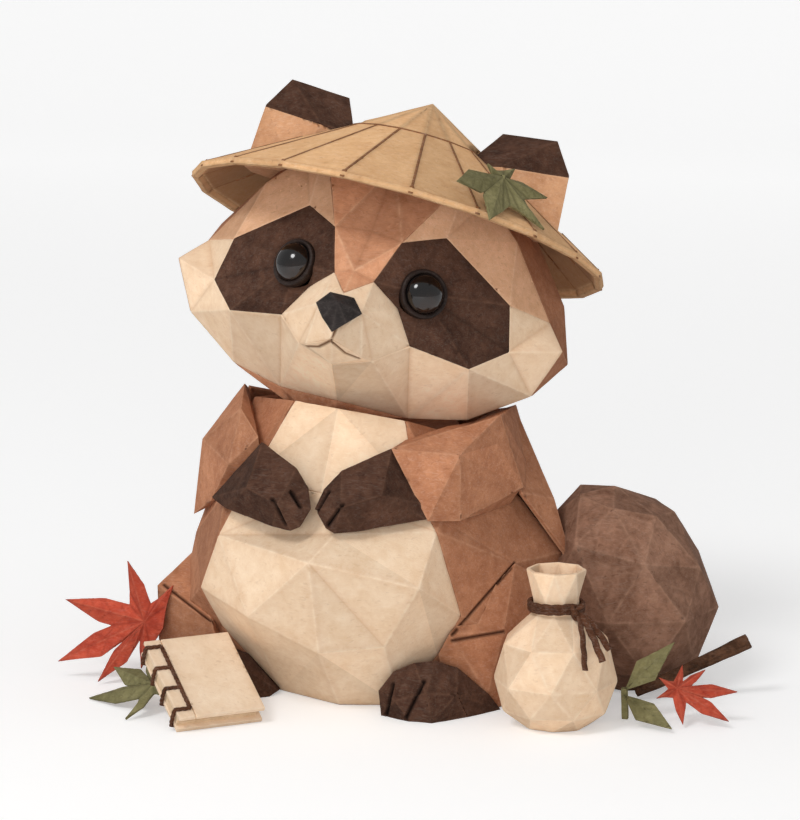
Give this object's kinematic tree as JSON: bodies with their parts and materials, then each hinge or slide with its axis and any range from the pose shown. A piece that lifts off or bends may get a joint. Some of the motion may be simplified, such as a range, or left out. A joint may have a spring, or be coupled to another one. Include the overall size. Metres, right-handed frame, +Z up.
{
  "type": "origami raccoon dog ornament",
  "caption": "Seated folded-paper raccoon dog with a ribbed cone hat, bead eyes, tied pouch, stitched ledger and autumn leaves.",
  "frame": {"origin": "on the ground, under the middle of the seated body", "axes": "+Z up, -Y the way the body faces, +X its left hand side as seen from the front"},
  "size_m": [0.1339, 0.0986, 0.1159],
  "materials": {
    "cream_paper": "handmade fibrous paper, matt",
    "brown_paper": "kraft paper, matt, worn folds",
    "tan_paper": "handmade paper, matt",
    "dark_paper": "dark brown paper, matt",
    "tail_paper": "brown paper, matt, worn folds",
    "black_paper": "near-black paper, slight sheen",
    "bead": "black, polished",
    "eye_rim": "dark, satin",
    "straw_paper": "straw-coloured ribbed paper, matt",
    "green_paper": "olive paper, matt",
    "red_paper": "autumn red paper, matt",
    "cord": "waxed twisted cord",
    "bark": "rough bark",
    "cover_paper": "heavy cream paper, matt",
    "page_paper": "sheet edges, matt"
  },
  "bodies": {
    "body": {"belly": "cream_paper", "chest": "cream_paper", "flank_left": "brown_paper", "flank_right": "brown_paper", "body_back": "brown_paper", "coat_collar": "brown_paper", "neck_plate": "brown_paper", "body_base": "brown_paper", "coat_back": "brown_paper", "sleeve_left": "brown_paper", "sleeve_right": "brown_paper", "paw_left": "dark_paper", "paw_right": "dark_paper", "thigh_left": "brown_paper", "thigh_right": "brown_paper", "foot_left": "dark_paper", "foot_right": "dark_paper", "tail": "tail_paper", "neck_tube": "cream_paper", "neck_washer": "cream_paper", "red_leaf": "red_paper", "green_leaf_left": "green_paper", "green_leaves_right": "green_paper", "small_red_leaf": "red_paper", "twig": "bark"},
    "head": {"head_base": "cream_paper", "head_underside": "brown_paper", "crown": "brown_paper", "forehead": "brown_paper", "brow_left": "tan_paper", "brow_right": "tan_paper", "mask_left": "dark_paper", "mask_right": "dark_paper", "cheek_left": "cream_paper", "cheek_right": "cream_paper", "muzzle": "cream_paper", "chin": "cream_paper", "nose": "black_paper", "eye_left": "bead", "eye_right": "bead", "eye_ring_left": "eye_rim", "eye_ring_right": "eye_rim", "ear_left": "tan_paper", "ear_right": "tan_paper", "ear_tip_left": "dark_paper", "ear_tip_right": "dark_paper"},
    "hat": {"hat_cone": "straw_paper", "hat_rim": "straw_paper", "hat_leaf": "green_paper"},
    "bag": {"bag_pouch": "cream_paper", "bag_tie": "cord", "bag_knot": "cord"},
    "book": {"book_spine_strip": "cover_paper", "book_pages": "page_paper", "book_cover_back": "cover_paper", "book_thread": "cord"},
    "book_cover": {"book_cover_front": "cover_paper"}
  },
  "joints": [
    {"name": "neck_turn", "type": "hinge", "parent": "body", "child": "head", "pos_m": [-0.00295, -0.00516, 0.054], "axis": [0, 0, 1], "range_deg": [-10, 10]},
    {"name": "hat_lift", "type": "slide", "parent": "head", "child": "hat", "axis": [0.1772, 0.3518, 0.9192], "range_m": [0, 0.04]},
    {"name": "bag_lift", "type": "slide", "parent": "body", "child": "bag", "axis": [0, 0, 1], "range_m": [0, 0.04]},
    {"name": "book_lift", "type": "slide", "parent": "body", "child": "book", "axis": [0.6103, -0.7146, 0.342], "range_m": [0, 0.04]},
    {"name": "book_cover_open", "type": "hinge", "parent": "book", "child": "book_cover", "pos_m": [-0.01908, -0.04726, 0.00312], "axis": [0.5624, -0.6585, -0.5], "range_deg": [0, 105]}
  ]
}
